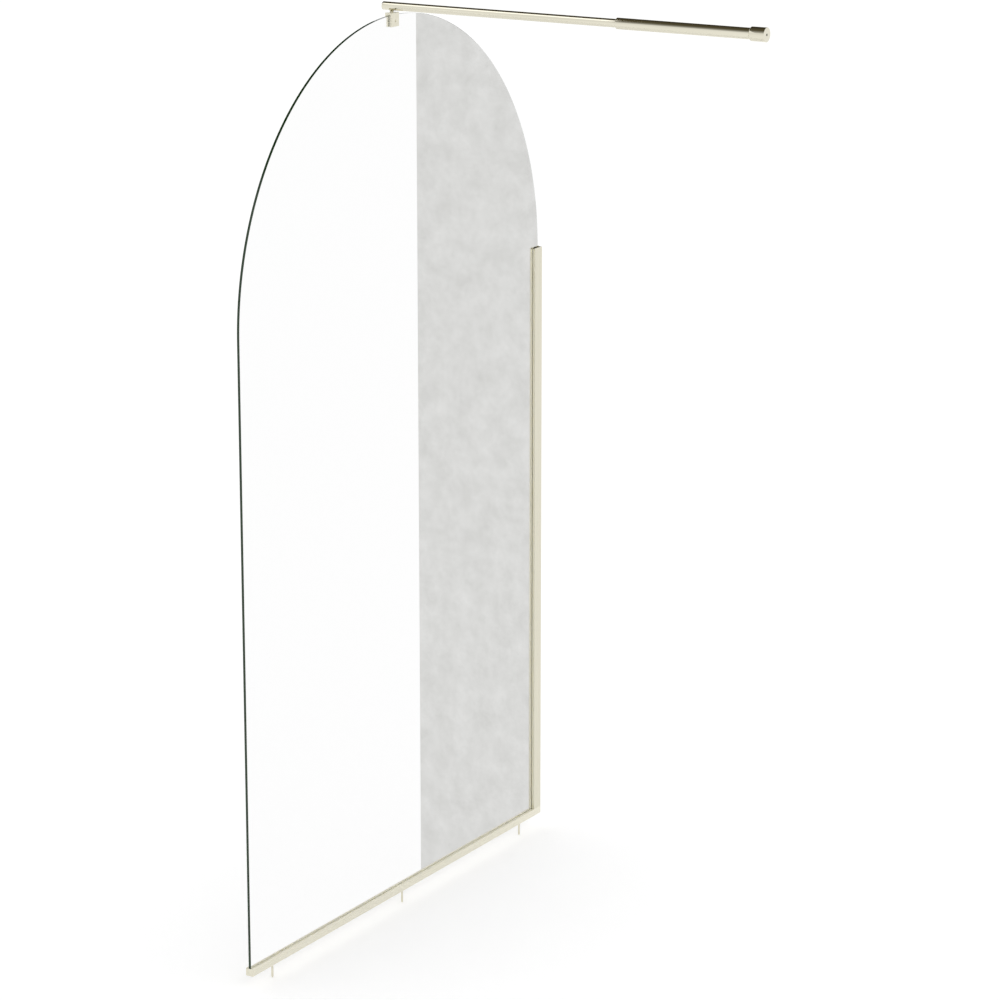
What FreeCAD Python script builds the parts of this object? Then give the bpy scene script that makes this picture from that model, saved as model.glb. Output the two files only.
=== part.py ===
"""Walk-in shower screen: an arched glass pane held in a wall channel and a floor channel, with a telescopic
stabiliser bar on a swivel clamp at the top of the arch.

Millimetres, +Z up. The origin is on the floor, under the middle of the floor channel, in the glass plane.
+X runs towards the wall that the pane is fixed to. The bar runs along -Y, to the opposite wall, and that
side is called the front.
"""
import FreeCAD, Part
import Sketcher
import os
import re

# Driving sizes, in millimetres
SIZES = {
    # Pane
    "overall_width": 1200,
    "apex_height": 1966,
    "glass_thickness": 6,
    "glass_arris": 0.8,
    # Wall channel and floor channel
    "channel_width": 18,
    "channel_wall": 2,
    "channel_edge_round": 0.6,
    "wall_channel_depth": 30,
    "floor_channel_height": 17,
    "wall_hole_diameter": 5,
    "wall_hole_inset": 80,
    "screw_head_room": 4,
    # Gasket strips and the ribs that stop them
    "gasket_depth": 8.8,
    "gasket_recess": 0.2,
    "gasket_slope": 0.4,
    "gasket_end_gap": 3,
    "rib_height": 1,
    "rib_width": 1,
    # Setting blocks under the pane
    "block_length": 80,
    "block_width": 12,
    "block_height": 4,
    "block_inset": 300,
    # End cap of the floor channel
    "cap_plate": 1.5,
    "cap_tongue_length": 12,
    "cap_tongue_gap": 0.5,
    "cap_fit": 0.1,
    "cap_round": 0.6,
    "end_gap": 0.5,
    # Pins into the floor
    "pin_diameter": 5,
    "pin_reach": 32,
    "pin_tip": 3,
    "pin_tip_diameter": 2.5,
    "pin_neck_diameter": 6,
    "pin_inset": 85,
    "pin_head_diameter": 9,
    "pin_head_height": 2.5,
    "pin_fit": 0.1,
    # Clamp on the arch
    "clamp_length": 30,
    "clamp_grip": 24,
    "clamp_rise": 6,
    "clamp_ear": 4,
    "clamp_round": 1,
    "bridge_gap": 1,
    "pad_thickness": 0.8,
    "pad_margin": 0.5,
    "plate_thickness": 1.2,
    "plate_margin": 0.5,
    # Swivel on the clamp
    "swivel_diameter": 5,
    "swivel_play": 0.05,
    "swivel_end_play": 0.1,
    "swivel_head_diameter": 7,
    "swivel_head_height": 1.8,
    "swivel_head_play": 0.2,
    "swivel_thread_length": 12,
    "washer_diameter": 9,
    "washer_thickness": 0.8,
    "washer_play": 0.2,
    "saddle_foot_diameter": 7,
    "saddle_foot_height": 0.6,
    "saddle_top_diameter": 15,
    # Stabiliser bar
    "bar_rise": 19,
    "bar_overhang": 20,
    "bar_reach": 885,
    "inner_tube_diameter": 18,
    "inner_tube_wall": 1.2,
    "inner_tube_overlap": 160,
    "outer_tube_diameter": 24,
    "outer_tube_wall": 1.5,
    "outer_tube_length": 336,
    "plug_flange": 1.5,
    "plug_length": 36,
    "plug_round": 0.6,
    "tube_fit": 0.1,
    "slide_play": 0.05,
    "guide_head_length": 8,
    "guide_spigot_length": 16,
    "guide_bore_diameter": 10,
    "bush_length": 22,
    "bush_recess": 0.5,
    # Wall flange
    "flange_diameter": 30,
    "flange_length": 35,
    "flange_base": 4,
    "flange_edge": 0.8,
    "flange_mouth_chamfer": 2,
    "flange_play": 0.05,
    "flange_end_play": 0.2,
    "flange_hole_diameter": 5,
    "flange_sink_diameter": 9,
    # Grub screws with hexagon sockets
    "set_screw_diameter": 6,
    "set_screw_socket": 3,
    "lock_screw_diameter": 5,
    "lock_screw_socket": 2.5,
    "lock_screw_inset": 11,
    "flange_screw_diameter": 4,
    "flange_screw_socket": 2,
    "screw_fit": 0.05,
    "screw_recess": 0.2,
    "screw_edge": 0.3,
    "screw_tip_gap": 0.3,
    "socket_depth": 1.6,
}

# Places and sizes that follow from the driving ones
DERIVED = {
    "free_end": "-overall_width / 2",
    "wall_face": "overall_width / 2",
    "wall_mouth": "wall_face - wall_channel_depth",
    "floor_start": "free_end + cap_plate",
    "glass_left": "floor_start + end_gap",
    "glass_right": "wall_face - channel_wall - screw_head_room",
    "glass_bottom": "channel_wall + block_height",
    "glass_half": "glass_thickness / 2",
    "spring_height": "apex_height - (glass_right - glass_left) / 2",
    "channel_half": "channel_width / 2",
    "channel_inside": "channel_half - channel_wall",
    "rib_start": "gasket_recess + gasket_depth",
    "clamp_place": "(free_end + wall_mouth) / 2",
    "back_pad_face": "glass_half + pad_thickness",
    "front_pad_face": "-glass_half - pad_thickness",
    "front_plate_face": "front_pad_face - plate_thickness",
    "grip_middle": "-clamp_grip / 2",
    "bar_axis": "apex_height + bar_rise",
    "washer_top": "clamp_rise + washer_thickness",
    "saddle_foot": "washer_top + swivel_end_play",
    "inner_radius": "inner_tube_diameter / 2",
    "inner_bore": "inner_radius - inner_tube_wall",
    "outer_radius": "outer_tube_diameter / 2",
    "outer_bore": "outer_radius - outer_tube_wall",
    "flange_floor": "flange_base - bar_reach",
    "outer_far_end": "flange_floor + flange_end_play",
    "outer_mouth": "outer_far_end + outer_tube_length",
    "inner_near_end": "bar_overhang - plug_flange",
    "inner_far_end": "outer_mouth - inner_tube_overlap",
    "flange_bore": "outer_radius + flange_play",
    "flange_mouth": "flange_length - bar_reach",
    "lock_screw_place": "outer_mouth - lock_screw_inset",
    "flange_screw_place": "(flange_mouth + flange_floor) / 2",
}

NODE_FOLDER = "parts"

doc = FreeCAD.newDocument("shower_screen")
nodes = []


def make_sheet():
    sheet = doc.addObject("Spreadsheet::Sheet", "Size")
    for row, (alias, number) in enumerate(SIZES.items(), start=1):
        sheet.set("A%d" % row, alias)
        sheet.set("B%d" % row, str(number))
        sheet.setAlias("B%d" % row, alias)
    doc.recompute()


def bind(words):
    """Turn a formula in size names into an expression on the sheet's cells."""
    def swap(match):
        word = match.group()
        if word in DERIVED:
            return "(" + bind(DERIVED[word]) + ")"
        return "Size." + word if word in SIZES else word
    return re.sub(r"[a-z_]+", swap, words)


# Sketches and features

def new_body(label):
    body = doc.addObject("PartDesign::Body", label)
    body.Label = label
    nodes.append(body)
    return body


def new_sketch(body, role, offset="0"):
    """A sketch on one of the body's own planes, moved along the plane's normal by offset."""
    sketch = body.newObject("Sketcher::SketchObject", body.Label + "_sketch")
    plane = [feature for feature in body.Origin.OriginFeatures if feature.Role == role][0]
    sketch.AttachmentSupport = [(plane, "")]
    sketch.MapMode = "FlatFace"
    sketch.setExpression("AttachmentOffset.Base.z", bind(offset))
    return sketch


def hold(sketch, kind, geometry, vertex, words):
    """Dimension a point from the sketch's origin, across (DistanceX) or up (DistanceY)."""
    number = float(sketch.evalExpression(bind(words)))
    index = sketch.addConstraint(Sketcher.Constraint(kind, -1, 1, geometry, vertex, number))
    sketch.setExpression("Constraints[%d]" % index, bind(words))


def point(sketch, across, up):
    return FreeCAD.Vector(
        float(sketch.evalExpression(bind(across))), float(sketch.evalExpression(bind(up))), 0)


def draw_outline(sketch, corners):
    """A closed outline of straight lines through corners, each a pair of formulas."""
    points = [point(sketch, across, up) for across, up in corners]
    following = points[1:] + points[:1]
    lines = [sketch.addGeometry(Part.LineSegment(a, b), False) for a, b in zip(points, following)]
    for line, after in zip(lines, lines[1:] + lines[:1]):
        sketch.addConstraint(Sketcher.Constraint("Coincident", line, 2, after, 1))
    for line, (across, up) in zip(lines, corners):
        hold(sketch, "DistanceX", line, 1, across)
        hold(sketch, "DistanceY", line, 1, up)


def draw_circle(sketch, across, up, radius):
    size = float(sketch.evalExpression(bind(radius)))
    circle = sketch.addGeometry(
        Part.Circle(point(sketch, across, up), FreeCAD.Vector(0, 0, 1), size), False)
    hold(sketch, "DistanceX", circle, 3, across)
    hold(sketch, "DistanceY", circle, 3, up)
    index = sketch.addConstraint(Sketcher.Constraint("Radius", circle, size))
    sketch.setExpression("Constraints[%d]" % index, bind(radius))


def pad(body, sketch, length, symmetric=False):
    feature = body.newObject("PartDesign::Pad", body.Label + "_pad")
    feature.Profile = sketch
    feature.setExpression("Length", bind(length))
    feature.SideType = "Symmetric" if symmetric else "One side"
    doc.recompute()
    return feature


def revolve(body, sketch, axis):
    feature = body.newObject("PartDesign::Revolution", body.Label + "_turning")
    feature.Profile = sketch
    feature.ReferenceAxis = (sketch, [axis])
    feature.Angle = 360
    doc.recompute()
    return feature


def pocket(body, sketch, length):
    """Cut to this length from the sketch, against its normal."""
    before = body.Shape.Volume
    feature = body.newObject("PartDesign::Pocket", body.Label + "_cut")
    feature.Profile = sketch
    feature.setExpression("Length", bind(length))
    doc.recompute()
    if not body.Shape.Volume < before:
        raise RuntimeError(body.Label + ": a cut took nothing away")


def edges_where(body, wanted):
    """Names of the body's edges whose two end points both pass the test."""
    doc.recompute()
    return ["Edge%d" % number for number, edge in enumerate(body.Shape.Edges, start=1)
            if all(wanted(vertex.Point) for vertex in edge.Vertexes)]


def dress(body, kind, size_name, size, names):
    """Fillet or chamfer the named edges of the body's last feature."""
    last = body.Tip
    feature = body.newObject("PartDesign::" + kind, body.Label + "_" + kind.lower())
    feature.Base = (last, names)
    feature.setExpression(size_name, bind(size))
    doc.recompute()


def place(thing, x="0", y="0", z="0", turn_about_x=0):
    """Turn about the X axis, in degrees, then move."""
    turn = FreeCAD.Rotation(FreeCAD.Vector(1, 0, 0), turn_about_x)
    thing.Placement = FreeCAD.Placement(FreeCAD.Vector(), turn)
    for axis, words in (("x", x), ("y", y), ("z", z)):
        thing.setExpression("Placement.Base." + axis, bind(words))


def new_box(label, length, width, height, x, y, z):
    """A plain block: its three sizes and its lowest corner."""
    box = doc.addObject("Part::Box", label)
    box.Label = label
    for side, words in (("Length", length), ("Width", width), ("Height", height)):
        box.setExpression(side, bind(words))
    place(box, x, y, z)
    nodes.append(box)


def turned_along_bar(label, corners):
    """A round piece about the bar's axis, from (place along Y, radius) corners."""
    body = new_body(label)
    sketch = new_sketch(body, "YZ_Plane")
    draw_outline(sketch, corners)
    revolve(body, sketch, "H_Axis")
    place(body, x="clamp_place", z="bar_axis")
    return body


def turned_upright(label, corners):
    """A round piece about a vertical axis, from (radius, height) corners."""
    body = new_body(label)
    sketch = new_sketch(body, "XZ_Plane")
    draw_outline(sketch, corners)
    revolve(body, sketch, "V_Axis")
    return body


def grub_screw(label, diameter, socket, length):
    """A screw with its flat tip at the origin and its hexagon socket at the top."""
    radius = diameter + " / 2"
    body = turned_upright(label, [
        ("0", "0"),
        (radius + " - screw_edge", "0"),
        (radius, "screw_edge"),
        (radius, length + " - screw_edge"),
        (radius + " - screw_edge", length),
        ("0", length),
    ])
    sketch = new_sketch(body, "XY_Plane", length)
    corner = socket + " / sqrt(3)"
    flat = socket + " / 2"
    draw_outline(sketch, [
        (corner, "0"),
        (corner + " / 2", flat),
        ("-" + corner + " / 2", flat),
        ("-" + corner, "0"),
        ("-" + corner + " / 2", "-" + flat),
        (corner + " / 2", "-" + flat),
    ])
    pocket(body, sketch, "socket_depth")
    return body


# Pane

def glass_panel():
    """Straight sides up to the spring of the arch, then half a circle."""
    body = new_body("glass_panel")
    sketch = new_sketch(body, "XZ_Plane")
    left_foot = point(sketch, "glass_left", "glass_bottom")
    right_foot = point(sketch, "glass_right", "glass_bottom")
    right_spring = point(sketch, "glass_right", "spring_height")
    left_spring = point(sketch, "glass_left", "spring_height")
    top = point(sketch, "(glass_left + glass_right) / 2", "apex_height")
    edges = [
        Part.LineSegment(left_foot, right_foot),
        Part.LineSegment(right_foot, right_spring),
        Part.Arc(right_spring, top, left_spring),
        Part.LineSegment(left_spring, left_foot),
    ]
    bottom, right, arch, left = [sketch.addGeometry(edge, False) for edge in edges]
    for edge, after in ((bottom, right), (right, arch), (arch, left), (left, bottom)):
        sketch.addConstraint(Sketcher.Constraint("Coincident", edge, 2, after, 1))
    for edge, across, up in ((bottom, "glass_left", "glass_bottom"), (right, "glass_right", "glass_bottom"),
                             (arch, "glass_right", "spring_height"), (left, "glass_left", "spring_height")):
        hold(sketch, "DistanceX", edge, 1, across)
        hold(sketch, "DistanceY", edge, 1, up)
    hold(sketch, "DistanceY", arch, 3, "spring_height")
    pad(body, sketch, "glass_thickness", symmetric=True)
    face = float(sketch.evalExpression(bind("glass_half")))
    rim = edges_where(body, lambda p: abs(abs(p.y) - face) < 1e-6)
    around = [name for name in rim if body.Shape.getElement(name).BoundBox.YLength < 1e-6]
    dress(body, "Chamfer", "Size", "glass_arris", around)


# Channels, gaskets and what stands in them

def channel_section():
    """Half of the U section as (across, depth from the mouth), from the mouth's lip to the web."""
    return [
        ("channel_half", "0"),
        ("channel_inside", "0"),
        ("channel_inside", "rib_start"),
        ("channel_inside - rib_height", "rib_start"),
        ("channel_inside - rib_height", "rib_start + rib_width"),
        ("channel_inside", "rib_start + rib_width"),
    ]


def channel_corners(depth):
    """The whole U: back leg, inside, front leg, outside."""
    back = channel_section() + [("channel_inside", depth + " - channel_wall")]
    front = [("-(" + across + ")", down) for across, down in reversed(back)]
    return back + front + [("-channel_half", depth), ("channel_half", depth)]


def wall_channel():
    body = new_body("wall_channel")
    section = new_sketch(body, "XY_Plane", "floor_channel_height")
    corners = channel_corners("wall_channel_depth")
    draw_outline(section, [("wall_mouth + " + depth, across) for across, depth in corners])
    pad(body, section, "spring_height - floor_channel_height")
    half = float(section.evalExpression(bind("channel_half")))
    outside = edges_where(body, lambda p: abs(abs(p.y) - half) < 1e-6)
    upright = [name for name in outside if body.Shape.getElement(name).BoundBox.XLength < 1e-6]
    dress(body, "Fillet", "Radius", "channel_edge_round", upright)
    holes = new_sketch(body, "YZ_Plane", "wall_face")
    low = "floor_channel_height + wall_hole_inset"
    high = "spring_height - wall_hole_inset"
    for share in ("0", "1 / 3", "2 / 3", "1"):
        height = "(" + low + ") + ((" + high + ") - (" + low + ")) * " + share
        draw_circle(holes, "0", height, "wall_hole_diameter / 2")
    pocket(body, holes, "channel_wall")


def floor_channel():
    body = new_body("floor_channel")
    section = new_sketch(body, "YZ_Plane", "floor_start")
    corners = channel_corners("floor_channel_height")
    draw_outline(section, [(across, "floor_channel_height - (" + depth + ")") for across, depth in corners])
    pad(body, section, "wall_face - floor_start")
    half = float(section.evalExpression(bind("channel_half")))
    outside = edges_where(body, lambda p: abs(abs(p.y) - half) < 1e-6)
    along = [name for name in outside if body.Shape.getElement(name).BoundBox.ZLength < 1e-6]
    dress(body, "Fillet", "Radius", "channel_edge_round", along)
    holes = new_sketch(body, "XY_Plane", "channel_wall")
    for across in PIN_PLACES.values():
        draw_circle(holes, across, "0", "pin_neck_diameter / 2 + pin_fit")
    pocket(body, holes, "channel_wall")


def floor_channel_end_cap():
    """A plate over the channel's end, with a tongue that lies in the channel under the pane."""
    body = new_body("floor_channel_end_cap")
    plate = new_sketch(body, "YZ_Plane", "free_end")
    draw_outline(plate, [
        ("-channel_half", "0"),
        ("channel_half", "0"),
        ("channel_half", "floor_channel_height"),
        ("-channel_half", "floor_channel_height"),
    ])
    pad(body, plate, "cap_plate")
    outer = float(plate.evalExpression(bind("free_end")))
    rim = edges_where(body, lambda p: abs(p.x - outer) < 1e-6)
    dress(body, "Fillet", "Radius", "cap_round", rim)
    tongue = new_sketch(body, "YZ_Plane", "floor_start")
    draw_outline(tongue, [
        ("-channel_inside + cap_fit", "channel_wall + cap_fit"),
        ("channel_inside - cap_fit", "channel_wall + cap_fit"),
        ("channel_inside - cap_fit", "glass_bottom - cap_tongue_gap"),
        ("-channel_inside + cap_fit", "glass_bottom - cap_tongue_gap"),
    ])
    pad(body, tongue, "cap_tongue_length")


def gasket_corners(side):
    """A strip between pane and leg, sloped at the mouth so that water runs off; side is 1 or -1."""
    return [
        ("%d * glass_half" % side, "gasket_recess"),
        ("%d * channel_inside" % side, "gasket_recess + gasket_slope"),
        ("%d * channel_inside" % side, "rib_start"),
        ("%d * glass_half" % side, "rib_start"),
    ]


def gaskets():
    for name, side in (("back", 1), ("front", -1)):
        upright = new_body("wall_gasket_" + name)
        section = new_sketch(upright, "XY_Plane", "floor_channel_height")
        draw_outline(section, [("wall_mouth + " + depth, across) for across, depth in gasket_corners(side)])
        pad(upright, section, "spring_height - floor_channel_height - gasket_end_gap")
        level = new_body("floor_gasket_" + name)
        section = new_sketch(level, "YZ_Plane", "glass_left")
        draw_outline(section, [(across, "floor_channel_height - (" + depth + ")")
                               for across, depth in gasket_corners(side)])
        pad(level, section, "glass_right - glass_left")


def setting_blocks():
    for name, middle in (("free_end", "free_end + block_inset"), ("wall_end", "wall_face - block_inset")):
        new_box("setting_block_" + name, "block_length", "block_width", "block_height",
                middle + " - block_length / 2", "-block_width / 2", "channel_wall")


PIN_PLACES = {
    "free_end": "free_end + pin_inset",
    "middle": "(free_end + wall_face) / 2",
    "wall_end": "wall_face - pin_inset",
}


def floor_pins():
    """Each pin's head lies on the channel's web, its neck fills the hole and its shank stands out below."""
    for name, across in PIN_PLACES.items():
        pin = turned_upright("floor_pin_" + name, [
            ("0", "-pin_reach"),
            ("pin_tip_diameter / 2", "-pin_reach"),
            ("pin_diameter / 2", "-pin_reach + pin_tip"),
            ("pin_diameter / 2", "0"),
            ("pin_neck_diameter / 2", "0"),
            ("pin_neck_diameter / 2", "channel_wall"),
            ("pin_head_diameter / 2", "channel_wall"),
            ("pin_head_diameter / 2", "channel_wall + pin_head_height"),
            ("0", "channel_wall + pin_head_height"),
        ])
        place(pin, x=across)


# Clamp: its own heights count from the top of the arch

def clamp_body():
    """A fork over the glass, with a bridge that carries the swivel."""
    body = new_body("clamp_body")
    section = new_sketch(body, "YZ_Plane")
    draw_outline(section, [
        ("back_pad_face", "-clamp_grip"),
        ("back_pad_face + clamp_ear", "-clamp_grip"),
        ("back_pad_face + clamp_ear", "clamp_rise"),
        ("front_plate_face - clamp_ear", "clamp_rise"),
        ("front_plate_face - clamp_ear", "-clamp_grip"),
        ("front_plate_face", "-clamp_grip"),
        ("front_plate_face", "bridge_gap"),
        ("back_pad_face", "bridge_gap"),
    ])
    pad(body, section, "clamp_length", symmetric=True)
    top = float(section.evalExpression(bind("clamp_rise")))
    dress(body, "Fillet", "Radius", "clamp_round", edges_where(body, lambda p: abs(p.z - top) < 1e-6))
    bearing = new_sketch(body, "XY_Plane", "clamp_rise")
    draw_circle(bearing, "0", "0", "swivel_diameter / 2 + swivel_play")
    pocket(body, bearing, "clamp_rise - bridge_gap")
    head_seat = new_sketch(body, "XY_Plane", "bridge_gap + swivel_head_height + swivel_end_play")
    draw_circle(head_seat, "0", "0", "swivel_head_diameter / 2 + swivel_head_play")
    pocket(body, head_seat, "swivel_head_height + swivel_end_play")
    thread = new_sketch(body, "XZ_Plane", "-(front_plate_face - clamp_ear)")
    draw_circle(thread, "0", "grip_middle", "set_screw_diameter / 2 + screw_fit")
    pocket(body, thread, "clamp_ear")
    place(body, x="clamp_place", z="apex_height")


def clamp_lining():
    """Soft pads on both faces of the pane, and the plate that the set screw presses."""
    low = "apex_height - clamp_grip"
    for name, margin, face, thickness in (
            ("clamp_pad_back", "pad_margin", "glass_half", "pad_thickness"),
            ("clamp_pad_front", "pad_margin", "front_pad_face", "pad_thickness"),
            ("clamp_pressure_plate", "plate_margin", "front_plate_face", "plate_thickness")):
        new_box(name, "clamp_length - 2 * " + margin, thickness, "clamp_grip - 2 * " + margin,
                "clamp_place - clamp_length / 2 + " + margin, face, low + " + " + margin)


def clamp_set_screw():
    screw = grub_screw("clamp_set_screw", "set_screw_diameter", "set_screw_socket",
                       "(clamp_ear - screw_recess)")
    place(screw, "clamp_place", "front_plate_face", "apex_height + grip_middle", turn_about_x=90)


# Swivel

def swivel_pin():
    """Its head is caught under the bridge, and its thread ends in the bar's end plug."""
    shank = "swivel_diameter / 2"
    head = "swivel_head_diameter / 2"
    head_top = "bridge_gap + swivel_head_height"
    tip = "bar_rise - inner_radius + swivel_thread_length"
    pin = turned_upright("swivel_pin", [
        ("0", "bridge_gap"),
        (head, "bridge_gap"),
        (head, head_top),
        (shank, head_top),
        (shank, tip),
        ("0", tip),
    ])
    place(pin, x="clamp_place", z="apex_height")


def swivel_washer():
    bore = "swivel_diameter / 2 + washer_play"
    washer = turned_upright("swivel_washer", [
        (bore, "clamp_rise"),
        ("washer_diameter / 2", "clamp_rise"),
        ("washer_diameter / 2", "washer_top"),
        (bore, "washer_top"),
    ])
    place(washer, x="clamp_place", z="apex_height")


def tube_saddle():
    """A flared collar on the swivel pin, hollowed on top to the round of the inner tube."""
    bore = "swivel_diameter / 2 + swivel_play"
    saddle = turned_upright("tube_saddle", [
        (bore, "saddle_foot"),
        ("saddle_foot_diameter / 2", "saddle_foot"),
        ("saddle_foot_diameter / 2", "saddle_foot + saddle_foot_height"),
        ("saddle_top_diameter / 2", "bar_rise - inner_radius / 2"),
        (bore, "bar_rise - inner_radius / 2"),
    ])
    seat = new_sketch(saddle, "XZ_Plane", "saddle_top_diameter / 2")
    draw_circle(seat, "0", "bar_rise", "inner_radius")
    pocket(saddle, seat, "saddle_top_diameter")
    place(saddle, x="clamp_place", z="apex_height")


# Stabiliser bar: its own heights count from the bar's axis, and it runs along -Y

def tube_section(start, end, bore, outside):
    return [(start, bore), (start, outside), (end, outside), (end, bore)]


def cut_below(body, along, radius, outside):
    """A hole through the underside only, from the bar's axis out to the outside radius."""
    hole = new_sketch(body, "XY_Plane")
    draw_circle(hole, "0", along, radius)
    pocket(body, hole, outside)


def inner_tube():
    tube = turned_along_bar(
        "inner_tube", tube_section("inner_near_end", "inner_far_end", "inner_bore", "inner_radius"))
    cut_below(tube, "0", "swivel_diameter / 2 + swivel_play", "inner_radius")


def inner_tube_end_plug():
    body_radius = "inner_bore - tube_fit"
    plug = turned_along_bar("inner_tube_end_plug", [
        ("bar_overhang", "0"),
        ("bar_overhang", "inner_radius - plug_round"),
        ("bar_overhang - plug_round", "inner_radius"),
        ("inner_near_end", "inner_radius"),
        ("inner_near_end", body_radius),
        ("inner_near_end - plug_length", body_radius),
        ("inner_near_end - plug_length", "0"),
    ])
    thread = new_sketch(plug, "XY_Plane", "inner_radius")
    draw_circle(thread, "0", "0", "swivel_diameter / 2 + screw_fit")
    pocket(plug, thread, "inner_tube_diameter")


def inner_tube_guide():
    """A spigot in the tube's far end and a head that slides in the outer tube."""
    spigot = "inner_bore - tube_fit"
    head = "outer_bore - slide_play"
    turned_along_bar("inner_tube_guide", [
        ("inner_far_end + guide_spigot_length", "guide_bore_diameter / 2"),
        ("inner_far_end + guide_spigot_length", spigot),
        ("inner_far_end", spigot),
        ("inner_far_end", head),
        ("inner_far_end - guide_head_length", head),
        ("inner_far_end - guide_head_length", "guide_bore_diameter / 2"),
    ])


def outer_tube():
    tube = turned_along_bar(
        "outer_tube", tube_section("outer_mouth", "outer_far_end", "outer_bore", "outer_radius"))
    cut_below(tube, "lock_screw_place", "lock_screw_diameter / 2 + screw_fit", "outer_radius")


def outer_tube_bush():
    start = "outer_mouth - bush_recess"
    bush = turned_along_bar("outer_tube_bush", tube_section(
        start, start + " - bush_length", "inner_radius + slide_play", "outer_bore"))
    cut_below(bush, "lock_screw_place", "lock_screw_diameter / 2 + screw_fit", "outer_radius")


def wall_flange():
    """A cup over the outer tube's end; a wall screw goes through the middle of its floor."""
    wall = "-bar_reach"
    radius = "flange_diameter / 2"
    hole = "flange_hole_diameter / 2"
    sink = "flange_sink_diameter / 2"
    flange = turned_along_bar("wall_flange", [
        ("flange_mouth", "flange_bore"),
        ("flange_mouth", radius + " - flange_mouth_chamfer"),
        ("flange_mouth - flange_mouth_chamfer", radius),
        (wall + " + flange_edge", radius),
        (wall, radius + " - flange_edge"),
        (wall, hole),
        ("flange_floor - (" + sink + " - " + hole + ")", hole),
        ("flange_floor", sink),
        ("flange_floor", "flange_bore"),
    ])
    cut_below(flange, "flange_screw_place", "flange_screw_diameter / 2 + screw_fit", radius)


def bar_screws():
    """Grub screws from below: one locks the bar's length, one holds the flange."""
    for label, diameter, socket, seat, outside, along in (
            ("tube_lock_screw", "lock_screw_diameter", "lock_screw_socket",
             "inner_radius", "outer_radius", "lock_screw_place"),
            ("flange_grub_screw", "flange_screw_diameter", "flange_screw_socket",
             "outer_radius", "flange_diameter / 2", "flange_screw_place")):
        tip = "(" + seat + " + screw_tip_gap)"
        screw = grub_screw(label, diameter, socket, "(" + outside + " - screw_recess - " + tip + ")")
        place(screw, "clamp_place", along, "bar_axis - " + tip, turn_about_x=180)


def check_all():
    """Stop at any object that failed, or any node that is not a sound solid."""
    doc.recompute()
    for thing in doc.Objects:
        if {"Invalid", "Error"} & set(thing.State):
            raise RuntimeError("%s failed: %s" % (thing.Label, thing.State))
    for node in nodes:
        if node.Shape.isNull() or not node.Shape.isValid() or not node.Shape.Solids:
            raise RuntimeError(node.Label + " is not a sound solid")


def write_nodes():
    os.makedirs(NODE_FOLDER, exist_ok=True)
    for node in nodes:
        node.Shape.exportStep(os.path.join(NODE_FOLDER, node.Label + ".step"))
        print("%-26s %10.1f mm3" % (node.Label, node.Shape.Volume))


make_sheet()
glass_panel()
wall_channel()
floor_channel()
floor_channel_end_cap()
gaskets()
setting_blocks()
floor_pins()
clamp_body()
clamp_lining()
clamp_set_screw()
swivel_pin()
swivel_washer()
tube_saddle()
inner_tube()
inner_tube_end_plug()
inner_tube_guide()
outer_tube()
outer_tube_bush()
wall_flange()
bar_screws()
check_all()
write_nodes()
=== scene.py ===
"""Looks of an arched walk-in shower screen.

Clear glass stands in slim champagne channels, and a telescopic bar steadies it from above. Metres, +Z up, in
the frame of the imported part: +X runs to the wall that holds the pane, and the bar runs along -Y.
"""
import math

import bmesh
import bpy
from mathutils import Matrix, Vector


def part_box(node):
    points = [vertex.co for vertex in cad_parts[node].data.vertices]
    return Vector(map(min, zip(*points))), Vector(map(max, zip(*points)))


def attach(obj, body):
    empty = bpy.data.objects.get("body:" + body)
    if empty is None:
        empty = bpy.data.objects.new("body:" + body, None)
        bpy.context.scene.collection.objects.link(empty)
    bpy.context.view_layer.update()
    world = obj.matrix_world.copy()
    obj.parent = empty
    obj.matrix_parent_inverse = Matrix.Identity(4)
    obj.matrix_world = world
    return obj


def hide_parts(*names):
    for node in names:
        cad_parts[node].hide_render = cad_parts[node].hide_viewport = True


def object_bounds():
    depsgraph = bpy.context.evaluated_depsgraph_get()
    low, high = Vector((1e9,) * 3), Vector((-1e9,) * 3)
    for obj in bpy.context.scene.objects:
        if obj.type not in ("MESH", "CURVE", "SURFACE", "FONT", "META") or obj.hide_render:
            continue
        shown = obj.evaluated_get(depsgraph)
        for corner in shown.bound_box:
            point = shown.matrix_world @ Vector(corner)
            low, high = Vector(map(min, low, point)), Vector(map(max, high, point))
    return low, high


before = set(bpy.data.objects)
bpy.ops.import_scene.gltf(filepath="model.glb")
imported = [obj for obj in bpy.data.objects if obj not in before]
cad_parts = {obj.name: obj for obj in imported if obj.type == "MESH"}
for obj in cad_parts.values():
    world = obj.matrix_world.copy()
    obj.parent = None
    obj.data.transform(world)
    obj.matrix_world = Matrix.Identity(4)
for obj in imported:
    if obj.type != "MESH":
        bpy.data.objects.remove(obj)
cad_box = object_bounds()

MM = 0.001
RIGHT = Vector((1, 0, 0))
BACK = Vector((0, 1, 0))
UP = Vector((0, 0, 1))

# Fineness of the meshes
NEAR = 0.001 * MM
ARCH_POINTS = 320
RING_POINTS = 96
ROUND_STEPS = 3
SHARP_ANGLE = math.radians(25)
SMOOTH_ANGLE = math.radians(12)
# A bore's cutter is this many times as long as the wall that it goes through
THROUGH = 4

# Pane
GLASS_ARRIS = 0.15 * MM
# Between the pane's faces and the seals that press on them
GLASS_AIR = 0.03 * MM
# The normal of a face of the pane leans more than this towards Y, and that of its rim less
FACE_LEAN = 0.5

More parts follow.
